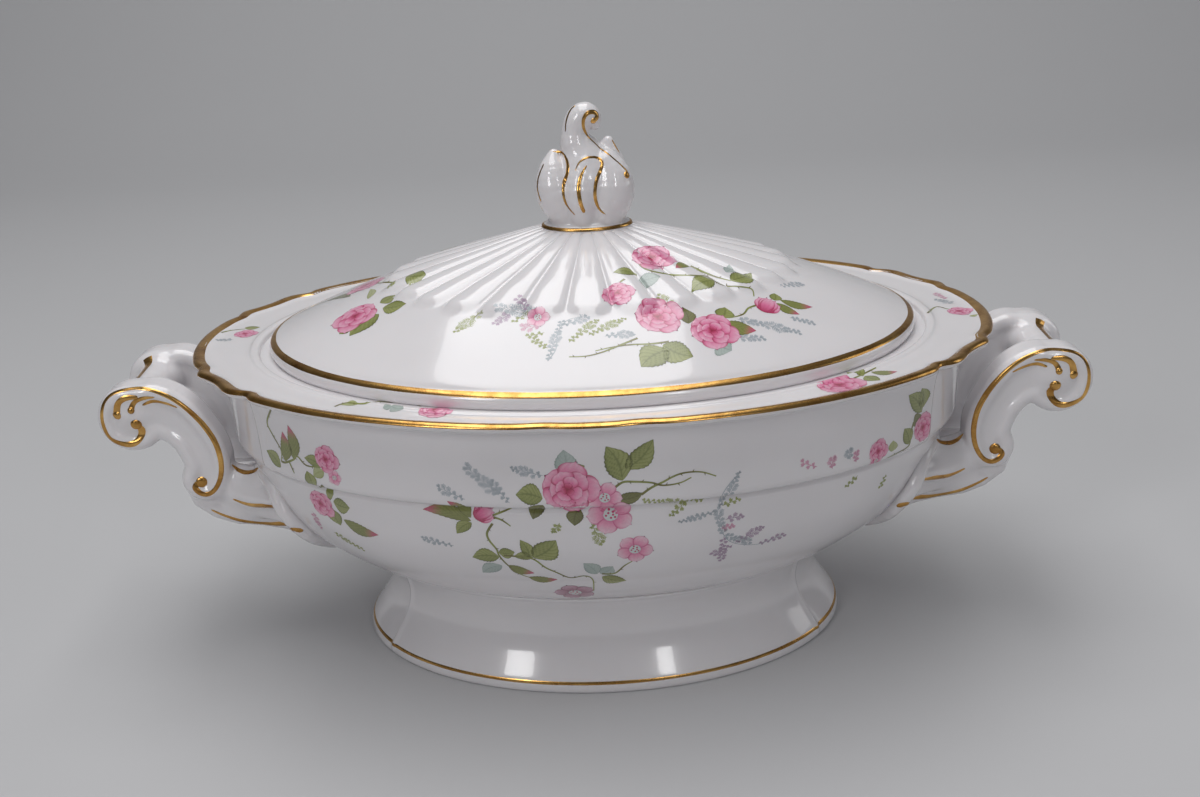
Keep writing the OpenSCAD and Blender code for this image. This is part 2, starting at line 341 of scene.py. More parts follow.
class Clay:
    """A block of distance values on a grid, shaped by blending strokes together."""

    def __init__(self, low, high, step):
        self.low, self.step = np.asarray(low, float), step
        count = np.ceil((np.asarray(high, float) - self.low) / step).astype(int) + 1
        axes = [self.low[k] + step * np.arange(count[k]) for k in range(3)]
        self.x = axes[0][:, None, None].astype(np.float32)
        self.y = axes[1][None, :, None].astype(np.float32)
        self.z = axes[2][None, None, :].astype(np.float32)
        self.field = np.full(count, FAR, np.float32)

    def add(self, d, blend=0.0):
        """Joins a shape, given by its distance field, with a fillet of about `blend`."""
        self.field = soft_min(self.field, d, blend)

    def mesh(self, name, material):
        verts, faces = surface_nets(self.field)
        verts = settle(self.field, verts, faces)
        return new_mesh(name, verts * self.step + self.low, faces, material)


def soft_min(a, b, blend):
    """Smaller of two distances, rounded where they meet."""
    if blend <= 0:
        return np.minimum(a, b)
    h = np.clip(0.5 + 0.5 * (b - a) / blend, 0, 1)
    return b + (a - b) * h - blend * h * (1 - h)


def surface_nets(field):
    """Quads around the zero level of a field, one vertex in each crossed cell."""
    n = np.array(field.shape)
    cell = tuple(n - 1)
    total = np.zeros(cell + (3,), np.float32)
    hits = np.zeros(cell, np.float32)

    def corner(c):
        return field[c[0]:n[0] - 1 + c[0], c[1]:n[1] - 1 + c[1], c[2]:n[2] - 1 + c[2]]

    for c in CORNERS:
        for axis in (k for k in range(3) if not c[k]):
            e = list(c)
            e[axis] = 1
            a, b = corner(c), corner(e)
            crossed = (a < 0) != (b < 0)
            f = np.where(crossed, a / np.where(crossed, a - b, 1), 0)
            for k in range(3):
                total[..., k] += np.where(crossed, c[k] + (f if k == axis else 0), 0)
            hits += crossed
    live = hits > 0
    number = np.full(cell, -1, np.int64)
    number[live] = np.arange(live.sum())
    base = np.stack(np.nonzero(live), 1)
    verts = base + total[live] / hits[live][:, None]
    faces = []
    inside = field < 0
    for axis in range(3):
        u, v = (axis + 1) % 3, (axis + 2) % 3
        here = [slice(1, n[k] - 1) for k in range(3)]
        here[axis] = slice(0, n[axis] - 1)
        there = list(here)
        there[axis] = slice(1, n[axis])
        a, b = inside[tuple(here)], inside[tuple(there)]
        for flip, mask in ((False, a & ~b), (True, ~a & b)):
            at = np.stack(np.nonzero(mask), 1)
            for k in range(3):
                if k != axis:
                    at[:, k] += 1
            ring = []
            for du, dv in ((0, 0), (-1, 0), (-1, -1), (0, -1)):
                q = at.copy()
                q[:, u] += du
                q[:, v] += dv
                ring.append(number[q[:, 0], q[:, 1], q[:, 2]])
            quads = np.stack(ring, 1)
            faces.append(quads[:, ::-1] if flip else quads)
    return verts.astype(float), np.concatenate(faces)


def sample(field, p):
    """Trilinear value of a grid at points in grid units."""
    n = np.array(field.shape)
    p = np.clip(p, 0, n - 1.001)
    i = p.astype(int)
    f = p - i
    value = 0
    for c in CORNERS:
        weight = np.prod([f[:, k] if c[k] else 1 - f[:, k] for k in range(3)], axis=0)
        value = value + weight * field[i[:, 0] + c[0], i[:, 1] + c[1], i[:, 2] + c[2]]
    return value


def settle(field, verts, faces, rounds=4):
    """Evens out the vertices and puts them back on the zero level."""
    edges = np.concatenate([faces[:, [0, 1]], faces[:, [1, 2]], faces[:, [2, 3]], faces[:, [3, 0]]])
    degree = np.bincount(edges.ravel(), minlength=len(verts))[:, None]
    grid = np.stack(np.gradient(field), -1)
    for _ in range(rounds):
        total = np.stack([np.bincount(edges[:, 0], verts[edges[:, 1], k], len(verts))
                          + np.bincount(edges[:, 1], verts[edges[:, 0], k], len(verts))
                          for k in range(3)], 1)
        verts = verts + 0.5 * (total / degree - verts)
        slope = np.stack([sample(grid[..., k], verts) for k in range(3)], 1)
        size = np.maximum((slope ** 2).sum(1, keepdims=True), 0.05)
        verts = verts - 0.8 * sample(field, verts)[:, None] * slope / size
    return verts


def stroke(x, y, z, path):
    """Distance from grid points to a stroke given by rows of x, y, z, radius."""
    best = FAR
    for (ax, ay, az, ar), (bx, by, bz, br) in zip(path[:-1], path[1:]):
        dx, dy, dz = bx - ax, by - ay, bz - az
        f = ((x - ax) * dx + (y - ay) * dy + (z - az) * dz) / (dx * dx + dy * dy + dz * dz)
        f = np.clip(f, 0, 1).astype(np.float32)
        away = np.sqrt((x - ax - f * dx) ** 2 + (y - ay - f * dy) ** 2 + (z - az - f * dz) ** 2)
        best = np.minimum(best, away - (ar + f * (br - ar)))
    return best.astype(np.float32)


# ------ materials

def node_tree(name):
    material = bpy.data.materials.new(name)
    material.use_nodes = True
    tree = material.node_tree
    return material, tree, tree.nodes["Principled BSDF"]


def fill(tree, node, values):
    """Sets a node's inputs and settings by name; an output given as a value is wired up."""
    for key, value in values.items():
        if isinstance(value, bpy.types.NodeSocket):
            tree.links.new(value, node.inputs[key])
        elif isinstance(key, int) or key in node.inputs:
            node.inputs[key].default_value = value
        else:
            setattr(node, key, value)


def output_of(tree, kind, output, values):
    node = tree.nodes.new("ShaderNode" + kind)
    fill(tree, node, values)
    return node.outputs[output]


def noise(tree, scale, detail, roughness=0.5):
    """Noise fixed to the piece; `scale` is in grains per metre."""
    place = output_of(tree, "TexCoord", "Object", {})
    return output_of(tree, "TexNoise", "Fac", {
        "Vector": place, "Scale": scale, "Detail": detail, "Roughness": roughness})


def ramp(tree, share, low, dark, high, pale):
    """Colour that goes from dark to pale as the share goes from low to high."""
    node = tree.nodes.new("ShaderNodeValToRGB")
    tree.links.new(share, node.inputs["Fac"])
    for stop, at, color in zip(node.color_ramp.elements, (low, high), (dark, pale)):
        stop.position = at
        stop.color = (*color, 1)
    return node.outputs["Color"]


def between(tree, share, low, high):
    return output_of(tree, "MapRange", "Result", {"Value": share, "To Min": low, "To Max": high})


def bump(tree, height, strength, distance):
    return output_of(tree, "Bump", "Normal", {"Height": height, "Strength": strength, "Distance": distance})


def glaze_bump(tree):
    """Slow waviness and fine orange peel of a fired glaze."""
    wave = noise(tree, 55.0, 2.0)
    peel = noise(tree, 900.0, 1.0)
    both = output_of(tree, "Math", 0, {"operation": "MULTIPLY_ADD", 0: peel, 1: 0.03, 2: wave})
    return bump(tree, both, 0.05, 0.0006)


def porcelain(name):
    """White glazed porcelain: faint cloudiness, a cool cast and a clear wet-looking glaze."""
    material, tree, shader = node_tree(name)
    cloud = noise(tree, 22.0, 3.0)
    fill(tree, shader, {
        "Base Color": ramp(tree, cloud, 0.3, (0.79, 0.765, 0.78), 0.7, (0.83, 0.805, 0.82)),
        "Normal": glaze_bump(tree), "Roughness": 0.16, "IOR": 1.52, "Subsurface Weight": 0.12,
        "Subsurface Radius": (0.0018, 0.0014, 0.0012), "Subsurface Scale": 1.0,
        "Coat Weight": 0.6, "Coat Roughness": 0.04})
    return material


def burnished_gold(name):
    """Fired liquid gold: brush-laid, so its depth and its polish vary along the line."""
    material, tree, shader = node_tree(name)
    brush = noise(tree, 140.0, 5.0, 0.6)
    fill(tree, shader, {
        "Base Color": ramp(tree, brush, 0.3, (0.36, 0.17, 0.04), 0.68, (0.80, 0.48, 0.15)),
        "Normal": bump(tree, brush, 0.12, 0.0003), "Roughness": between(tree, brush, 0.36, 0.16),
        "Metallic": 1.0})
    return material


def transfer_paint(name):
    """Printed flowers under the glaze: painted colour with a fine stipple, same gloss as the body."""
    material, tree, shader = node_tree(name)
    paint = output_of(tree, "VertexColor", "Color", {"layer_name": "paint"})
    stipple = between(tree, noise(tree, 1500.0, 2.0), 0.86, 1.12)
    fill(tree, shader, {
        "Base Color": output_of(tree, "VectorMath", "Vector", {
            "operation": "SCALE", 0: paint, "Scale": stipple}),
        "Normal": glaze_bump(tree), "Roughness": 0.2, "Coat Weight": 0.6, "Coat Roughness": 0.05})
    return material


PORCELAIN = porcelain("porcelain_glaze")
GOLD = burnished_gold("burnished_gold")
PAINT = transfer_paint("transfer_paint")


# ------ shells of the bowl, foot and lid

bowl_shell = Shell(BOWL_STATIONS, bowl_shape)
foot_shell = Shell(FOOT_STATIONS, foot_shape)
lid_shell = Shell(LID_STATIONS, lid_shape)

bowl = bowl_shell.mesh("bowl_body", PORCELAIN)
foot = foot_shell.mesh("foot_body", PORCELAIN, cap_ends=False)


def build_lid():
    """Lid mesh: the outside, then the inside, closed at the crown and under the locating ring."""
    outside = lid_shell.rows
    inside = spline(LID_INSIDE, RING_STEPS)
    around = LOBES * 22
    t = np.linspace(0, 2 * math.pi, around, endpoint=False)
    rows = np.concatenate([outside, inside])
    points = lid_shape(rows[:, None, :], t[None, :]).reshape(-1, 3)
    n, split = len(rows), len(outside)
    faces = grid_faces(split, around, wrap_cols=True)
    faces += grid_faces(n - split, around, wrap_cols=True, start=split * around)
    last = [(n - 1) * around + k for k in range(around)]
    faces += [[last[k], last[(k + 1) % around], (k + 1) % around, k] for k in range(around)]
    faces.append([(split - 1) * around + k for k in range(around)])
    faces.append([split * around + k for k in range(around)][::-1])
    return new_mesh("lid_body", points, faces, PORCELAIN)


lid = build_lid()


# ------ handles

SCROLL = np.array([155.3, 88.9])      # centre of the top scroll, in X and Z
SCROLL_R = 11.5
CURL = np.array([134.2, 65.6])        # centre of the lower scroll
CURL_R = 7.4
ARM_Y = 18.5                          # middle of an arm, from the centre plane
ARM_W = 6.2                           # half width of an arm
HANDLE_GRAIN = 0.55                   # spacing of the clay's grid

# Middle line of an arm from the top scroll to the lower one: x, 0, z, half thickness
ARM_PATH = spline([(153, 0, 90.2, 9.0), (147.8, 0, 91.2, 9.5), (141.3, 0, 88.0, 8.7),
                   (136.5, 0, 82.3, 7.9), (133.7, 0, 76.8, 7.9), (132.4, 0, 71.0, 7.6),
                   (133.4, 0, 66.0, 7.2)], 6)


def arm_plane(x, z):
    """Distance from an arm's outline in the plane of the handle."""
    d = stroke(x, 0, z, ARM_PATH)
    d = soft_min(d, (np.hypot(x - SCROLL[0], z - SCROLL[1]) - SCROLL_R).astype(np.float32), 1.5)
    return soft_min(d, (np.hypot(x - CURL[0], z - CURL[1]) - CURL_R).astype(np.float32), 1.5)


def arm_field(d, y):
    """Arm with rounded edges, a raised border and a dished face, from its outline distance."""
    rim = 3.0
    dish = 1.3 * smoothstep(-d, 3.4, 6.4)
    side = np.abs(y - ARM_Y) - (ARM_W - dish - rim)
    edge = d + rim
    inner = np.minimum(np.maximum(side, edge), 0)
    return (inner + np.hypot(np.maximum(side, 0), np.maximum(edge, 0)) - rim).astype(np.float32)


def build_handle_clay():
    clay = Clay((86, -42, 30), (170, 42, 105), HANDLE_GRAIN)
    x, y, z = clay.x, clay.y, clay.z
    flat_d = arm_plane(x[:, :, 0], z[0, 0, :][None, :])[:, None, :]
    clay.add(arm_field(flat_d, np.abs(y)))

    def add(path, blend):
        clay.add(stroke(x, np.abs(y), z, path), blend)

    # cross bar between the top scrolls, waisted in the middle
    add([(155.0, 0, 91.0, 6.4), (154.8, 8, 90.8, 6.8), (154, 17, 90.6, 8.4)], 3.0)
    # leaf-shaped base: its middle, the ridge up to the bowl and the lower edge
    add([(130, 0, 58.5, 5.0), (119, 0, 57.0, 6.6), (108, 0, 53, 8.5), (99, 0, 47, 6.5)], 4.0)
    add([(131, 17, 61.5, 5.6), (124, 17.5, 64.2, 4.6), (119, 20, 64.6, 4.2), (114, 23, 66.2, 3.8),
         (110, 26, 67.5, 3.2)], 2.2)
    add([(139, 18.5, 62, 2.8), (137, 18.5, 57, 3.2), (131.5, 18, 53, 3.6), (125, 17.5, 50.5, 3.8),
         (117, 16.5, 49.1, 3.8), (109, 16, 47.2, 3.5), (103.5, 15, 43.8, 3.0), (97.5, 14.5, 40.4, 2.4)],
        2.0)
    # webs between the ridge, the lower edge and the bowl
    for start, end in (((125, 17, 58.5, 5.4), (106, 32, 61, 3.0)), ((122, 16, 55, 5.2), (101, 30, 53, 2.8)),
                       ((118, 12, 52.5, 5.2), (98, 20, 46, 2.8))):
        add([start, end], 4.0)
    # slim rib that hugs the bowl
    add(spline([(113.5, 24, 70.0, 2.4), (108.4, 33, 66.5, 2.5), (104.6, 38, 59.5, 2.5), (98.8, 35, 50, 2.5),
                (95.4, 26, 43, 2.5), (92.4, 17, 38, 2.4), (90.6, 12, 35.8, 2.0)], 3), 1.2)
    return clay


handle_right = build_handle_clay().mesh("handle_right_body", PORCELAIN)
handle_left = twin(handle_right, "handle_left_body", MIRROR)


# ------ knob

KNOB_GRAIN = 0.42
COLLAR_OVAL = 1.42      # how much longer than deep the collar is


def build_knob_clay():
    clay = Clay((-20, -16, CROWN_Z - 2), (20, 16, KNOB_TOP + 2), KNOB_GRAIN)
    x, y, z = clay.x, clay.y, clay.z
    # flared collar, oval in plan
    r = np.hypot(x, y * COLLAR_OVAL)
    level = z - CROWN_Z
    outline = np.interp(level.ravel(), [-2, 0.0, 0.9, 1.8, 3.0, 4.4, 6.0, 8],
                        [15.4, 15.4, 15.2, 13.6, 12.6, 12.4, 12.8, 13.2]).astype(np.float32)[None, None, :]
    clay.add(np.maximum((r - outline) * 0.72, np.abs(level - 2.0) - 4.0).astype(np.float32))

    def lobe(path, blend):
        rows = [(px, py, CROWN_Z + pz, pr) for px, py, pz, pr in spline(path, 3)]
        clay.add(stroke(x, y, z, rows), blend)

    # round core
    lobe([(0, 0, 6.5, 9.5), (0, 0.3, 13, 11.0), (0, 0.6, 19, 9.5), (-1, 1, 24, 7.0)], 1.5)
    # left leaf, front and its twin behind
    lobe([(-6.5, -2.5, 5.5, 6.0), (-9.5, -3.0, 12, 7.0), (-10.3, -2.8, 18, 5.4), (-10.3, -2.2, 22.2, 3.2),
          (-9.9, -1.8, 24.8, 1.8)], 0.6)
    lobe([(-7.5, 3.5, 5.5, 6.0), (-10.0, 3.6, 12, 6.2), (-10.6, 3.4, 17, 4.8), (-9.6, 3.0, 21.5, 3.0)], 0.6)
    # front folds between the gilded lines
    lobe([(-1.2, -5.4, 5.0, 5.2), (-1.8, -6.6, 11, 5.4), (-1.4, -6.0, 17, 4.6), (0.4, -4.6, 22, 3.6)], 0.5)
    # large smooth lobe on the right
    lobe([(6.8, -3.0, 5.5, 6.6), (8.6, -3.0, 11.5, 7.6), (8.6, -2.6, 16.5, 6.8), (7.0, -2.2, 21, 5.2)], 0.6)
    lobe([(6.8, 3.6, 5.5, 6.2), (8.6, 3.6, 12, 6.8), (8.6, 3.4, 18, 5.6), (7.8, 3.2, 23.6, 3.9),
          (8.2, 2.6, 27.4, 1.9)], 0.6)
    # plume: rises on the left, leans over the top and curls to the right
    lobe([(6.0, -1.5, 19, 4.8), (2.0, -1.2, 22, 5.4), (-2.0, -0.6, 26, 5.4), (-2.6, -0.2, 31, 4.6),
          (-1.2, 0, 35.4, 4.5), (1.0, 0, 37.0, 4.2), (3.0, 0, 36.0, 3.2), (3.8, 0, 33.8, 2.0)], 0.8)
    return clay


knob = build_knob_clay().mesh("knob_body", PORCELAIN)


# ------ painting on a glazed surface

# Flowers and gilding are laid out on a flat sheet that faces a viewer standing a little above the
# table: x runs along the tureen and v runs up the sheet. Each spot is then dropped along the
# line of sight onto the piece, and each shape is drawn true to size in the glaze around it.
RISE = math.radians(20.4)
SIGHT = Vector((0, math.cos(RISE), -math.sin(RISE)))
SHEET_UP = Vector((0, math.sin(RISE), math.cos(RISE)))
REACH = 400.0       # how far the line of sight starts in front of the sheet
SNAP = 8.0          # how far around a drawn point its spot on the glaze is looked for
# Heights over the glaze of the lowest layer of each kind of shape
FERN_LIFT, LEAF_LIFT, STEM_LIFT, PETAL_LIFT, GOLD_LIFT = 0.025, 0.035, 0.045, 0.05, 0.03


class Paint:
    """Thin shapes laid just above one piece. `facing` is -1 to draw on the sheet behind it."""

    def __init__(self, obj):
        mesh = obj.data
        self.normals = [v.normal.copy() for v in mesh.vertices]
        self.points = [v.co / MM for v in mesh.vertices]
        self.sides = [tuple(p.vertices) for p in mesh.polygons]
        self.tree = BVHTree.FromPolygons(self.points, self.sides)
        self.facing = 1
        self.verts, self.faces, self.colors = [], [], []

    def land(self, start, direction, reach=SNAP):
        """Place and outward normal where a line through `start` meets the piece."""
        place, _, index, _ = self.tree.ray_cast(start - direction * reach, direction, 2 * reach)
        if place is None:
            place, _, index, _ = self.tree.find_nearest(start)
        normal = Vector((0, 0, 0))
        for k in self.sides[index]:
            normal += self.normals[k] / ((self.points[k] - place).length_squared + 0.001)
        normal.normalize()
        return place, (normal if normal.dot(direction) < 0 else -normal)

    def spot(self, point):
        """Place and normal under a sheet point."""
        up = Vector((0, self.facing * SHEET_UP.y, SHEET_UP.z))
        sight = Vector((0, self.facing * SIGHT.y, SIGHT.z))
        return self.land(Vector((point[0], 0, 0)) + up * point[1], sight, REACH)

    def frame(self, base, tip=None, turn=0.0):
        """Tangent plane at a sheet point, facing `tip`, or up the slope when there is none."""
        origin, normal = self.spot(base)
        length = 0.0
        if tip is None:
            ahead = Vector((0, 0, 1)) if abs(normal.z) < 0.97 else Vector((0, 1, 0))
        else:
            ahead = self.spot(tip)[0] - origin
            length = ahead.length
        ahead = (ahead - normal * ahead.dot(normal)).normalized()
        ahead = Matrix.Rotation(math.radians(turn), 3, normal) @ ahead
        return origin, ahead.cross(normal), ahead, normal, length

    def skin(self, frame, sideways, forward, color, lift):
        """Lays a grid of points, drawn in the frame's plane, onto the glaze."""
        origin, side, ahead, normal = frame[:4]
        start = len(self.verts)
        rows, cols = sideways.shape
        lifts = np.broadcast_to(lift, (rows, cols)).ravel()
        for p, q, height in zip(sideways.ravel(), forward.ravel(), lifts):
            place, up = self.land(origin + side * float(p) + ahead * float(q), -normal)
            self.verts.append(place + up * float(height))
        self.faces += grid_faces(rows, cols, start=start)
        self.colors.append(np.broadcast_to(color, (rows, cols, 3)).reshape(-1, 3))

    def strip(self, spots, half_widths, color, lift, dome=0.0, cols=3):
        """Lays a ribbon along spots of the glaze; `dome` raises its middle."""
        start = len(self.verts)
        places = [s[0] for s in spots]
        for k, (place, normal) in enumerate(spots):
            ahead = places[min(k + 1, len(places) - 1)] - places[max(k - 1, 0)]
            side = ahead.cross(normal).normalized()
            for c in np.linspace(-1, 1, cols):
                at, up = self.land(place + side * float(c * half_widths[k]), -normal)
                self.verts.append(at + up * (lift + dome * half_widths[k] * (1 - c * c)))
        self.faces += grid_faces(len(spots), cols, start=start)
        self.colors.append(np.repeat(color, cols, axis=0))

    def mesh(self, name, material):
        colors = np.concatenate(self.colors)
        return new_mesh(name, [tuple(v) for v in self.verts], self.faces, material, colors=colors)


# Printing inks, each a deep, a middle and a pale tone
PETAL = ((0.42, 0.035, 0.10), (0.74, 0.17, 0.34), (0.84, 0.50, 0.63))
HEART = ((0.26, 0.015, 0.045), (0.52, 0.05, 0.14), (0.72, 0.18, 0.34))
BLUSH = ((0.56, 0.09, 0.22), (0.79, 0.33, 0.48), (0.82, 0.60, 0.68))
MAUVE = ((0.20, 0.06, 0.10), (0.42, 0.18, 0.26), (0.58, 0.36, 0.44))
LEAF = ((0.075, 0.075, 0.022), (0.22, 0.25, 0.07), (0.42, 0.44, 0.17))
BUD = ((0.09, 0.08, 0.03), (0.25, 0.27, 0.08), (0.56, 0.10, 0.20))
DARK = ((0.06, 0.055, 0.02), (0.14, 0.14, 0.045), (0.24, 0.24, 0.09))
TEAL = ((0.22, 0.28, 0.25), (0.37, 0.44, 0.41), (0.53, 0.58, 0.55))
OLIVE = ((0.22, 0.25, 0.07), (0.38, 0.41, 0.17), (0.52, 0.54, 0.32))
GREY = ((0.34, 0.38, 0.42), (0.45, 0.49, 0.53), (0.58, 0.61, 0.64))
LILAC = ((0.34, 0.26, 0.36), (0.49, 0.37, 0.48), (0.64, 0.46, 0.58))
PINK = ((0.55, 0.20, 0.32), (0.70, 0.38, 0.50), (0.77, 0.54, 0.63))
STEM = ((0.12, 0.07, 0.03), (0.23, 0.25, 0.07), (0.36, 0.39, 0.13))
STAMEN = (0.62, 0.66, 0.66)


def lattice(rows, cols):
    """Column from 0 to 1 and row from -1 to 1 that span a grid between them."""
    return np.linspace(0, 1, rows)[:, None], np.linspace(-1, 1, cols)[None, :]


def tone(ink, share):
    """Colour between an ink's deep (0), middle (1) and pale (2) tones."""
    share = np.clip(np.asarray(share, float), 0, 2)[..., None]
    deep, middle, pale = (np.array(c) for c in ink)
    low, high = np.clip(share, 0, 1), np.clip(share - 1, 0, 1)
    return deep + (middle - deep) * low + (pale - middle) * high


def petal(paint, frame, start, length, width, ink, lift):
    """Round-ended petal: deep at its foot, pale towards the rim, with a drawn edge."""
    f, c = lattice(11, 9)
    half = width / 2 * np.sin(math.pi * (0.06 + 0.94 * f) ** 1.35) ** 0.55
    forward = start + length * f * (1 + 0.05 * np.cos(4 * c))
    edge = np.maximum(smoothstep(np.abs(c), 0.72, 1.0), smoothstep(f, 0.88, 1.0))
    streaks = 0.20 * np.sin(11 * c + 5 * f) * f
    share = 0.05 + 2.0 * f ** 0.9 + streaks - 1.15 * edge
    paint.skin(frame, half * c, forward, tone(ink, share), lift)


def rose(paint, center, radius, turn=0.0):
    """Full rose, three rings of petals round a dark heart, seen a little from one side."""
    rings = ((5, 0.16, 0.84, 1.02, PETAL, 0.0), (5, 0.10, 0.62, 0.82, PETAL, 36.0),
             (4, 0.04, 0.44, 0.56, PETAL, 10.0), (3, 0.0, 0.24, 0.30, HEART, 50.0))
    layer = 0
    for count, start, length, width, ink, offset in rings:
        for k in range(count):
            angle = turn + offset + 360 * k / count
            near = 1 - 0.18 * math.cos(math.radians(angle - turn - 40))
            spot = paint.frame(center, turn=angle)
            petal(paint, spot, start * radius, length * radius * near, width * radius, ink,
                  PETAL_LIFT + 0.006 * layer)
            layer += 1


def small_rose(paint, center, radius, turn=0.0, ink=BLUSH):
    """Open single flower with a pale eye and dark stamens."""
    for k in range(5):
        petal(paint, paint.frame(center, turn=turn + 72 * k), 0.12 * radius, 0.86 * radius, 0.86 * radius,
              ink, PETAL_LIFT + 0.006 * k)
    f = np.linspace(0, 1, 4)[:, None]
    a = np.linspace(0, 2 * math.pi, 13)[None, :]
    spot = paint.frame(center)
    r = 0.30 * radius * f
    paint.skin(spot, r * np.cos(a), r * np.sin(a), np.array(STAMEN), 0.09)
    for k in range(7):
        angle = 2.4 * k
        away = radius * (0.10 + 0.022 * k)
        dot = 0.05 * radius * f
        paint.skin(spot, away * math.cos(angle) + dot * np.cos(a), away * math.sin(angle) + dot * np.sin(a),
                   np.array(HEART[1]), 0.10)


def leaf(paint, base, tip, width, ink=LEAF):
    """Toothed leaf with a midrib, dark side veins and a drawn edge; a bud leaf reddens at its tip."""
    frame = paint.frame(base, tip)
    length = frame[4]
    f, c = lattice(37, 15)
    half = width / 2 * np.sin(math.pi * f ** 0.85) ** 0.95 * (1 + 0.13 * np.mod(f * 9, 1))
    sag = 0.10 * length * np.sin(math.pi * f)
    edge = np.maximum(smoothstep(np.abs(c), 0.80, 1.0), smoothstep(f, 0.95, 1.0))
    rib = 1 - smoothstep(np.abs(c), 0.02, 0.15)
    vein = 1 - smoothstep(np.abs(np.mod((f - 0.34 * np.abs(c)) * 6.5, 1) - 0.5), 0.04, 0.20)
    share = 1.45 + 0.25 * c - 0.75 * np.maximum(vein * (1 - 0.4 * f), rib) - 1.25 * edge
    if ink is BUD:
        share = 1.0 - 0.5 * vein - 0.8 * edge + 1.1 * smoothstep(f, 0.55, 0.95)
    paint.skin(frame, half * c + sag, length * f + 0 * c, tone(ink, share), LEAF_LIFT)


def stem(paint, *path, width=0.8, ink=STEM, thorns=True):
    """Thin curving stem through sheet points, tapering to its end, with small thorns."""
    spots = [paint.spot(p) for p in spaced(path, 0.7, 4)]
    count = len(spots)
    f = np.linspace(0, 1, count)
    widths = width / 2 * (1 - 0.5 * f)
    paint.strip(spots, widths, tone(ink, 0.5 + 0.9 * np.sin(5 * f) ** 2), STEM_LIFT)
    if not thorns:
        return
    for k in range(3, count - 2, 5):
        place, normal = spots[k]
        ahead = (spots[k + 1][0] - spots[k - 1][0]).normalized()
        side = ahead.cross(normal) * (1 if (k // 5) % 2 else -1)
        out = (side + 0.5 * ahead).normalized()
        frame = (place, ahead, out, normal)
        g, c = lattice(3, 3)
        paint.skin(frame, 0.28 * (1 - g) * c, 1.1 * g + 0 * c, tone(ink, 0.3), STEM_LIFT)


def twig(paint, *path):
    """Hair-thin grey stem without thorns."""
    stem(paint, *path, width=0.35, ink=GREY, thorns=False)


def fern(paint, base, tip, spread, ink=GREY):
    """Feathery sprig: a hair-thin stem with side shoots, each carrying pairs of small leaflets."""
    origin, side, ahead, normal, length = paint.frame(base, tip)
    rows, cols = lattice(4, 3)

    def blade(root, out, reach, half, share):
        across = half * np.sin(math.pi * (0.18 + 0.74 * rows)) * cols
        paint.skin((root, out.cross(normal), out, normal), across, reach * rows + 0 * cols,
                   tone(ink, share + 0.5 * rows + 0 * cols), FERN_LIFT)

    blade(origin, ahead, length, 0.14, 0.5)
    shoots = max(int(length / 1.5), 3)
    for k in range(shoots):
        f = (k + 0.4) / shoots
        uneven = 0.85 + 0.25 * math.sin(5.3 * k + base[0])
        fan = 0.75 * spread * math.sin(math.pi * (0.16 + 0.72 * f)) * uneven
        for hand in (-1, 1):
            out = (side * hand * (0.85 + 0.3 * math.sin(2.7 * k + hand)) + ahead).normalized()
            root = origin + ahead * (length * (f + 0.2 * hand / shoots))
            blade(root, out, fan, 0.15, 0.6)
            for j in (0.3, 0.55, 0.8):
                for turn in (-1, 1):
                    leaflet = (out + out.cross(normal) * turn * 0.9).normalized()
                    blade(root + out * (fan * j), leaflet, 0.45 + 0.5 * fan * (1.1 - j), 0.15, 0.7)


def rosebud(paint, center, radius, turn=0.0):
    """Half-open bud of wrapped petals."""
    for k, angle in enumerate((-50, 50, -18, 18, 0)):
        spot = paint.frame(center, turn=turn + angle)
        petal(paint, spot, -0.7 * radius, 1.7 * radius, (1.5 - 0.14 * k) * radius, PETAL,
              PETAL_LIFT + 0.008 * k)


SKETCHES = {"fern": fern, "stem": stem, "twig": twig, "leaf": leaf, "bud": rosebud, "small": small_rose,
            "rose": rose}

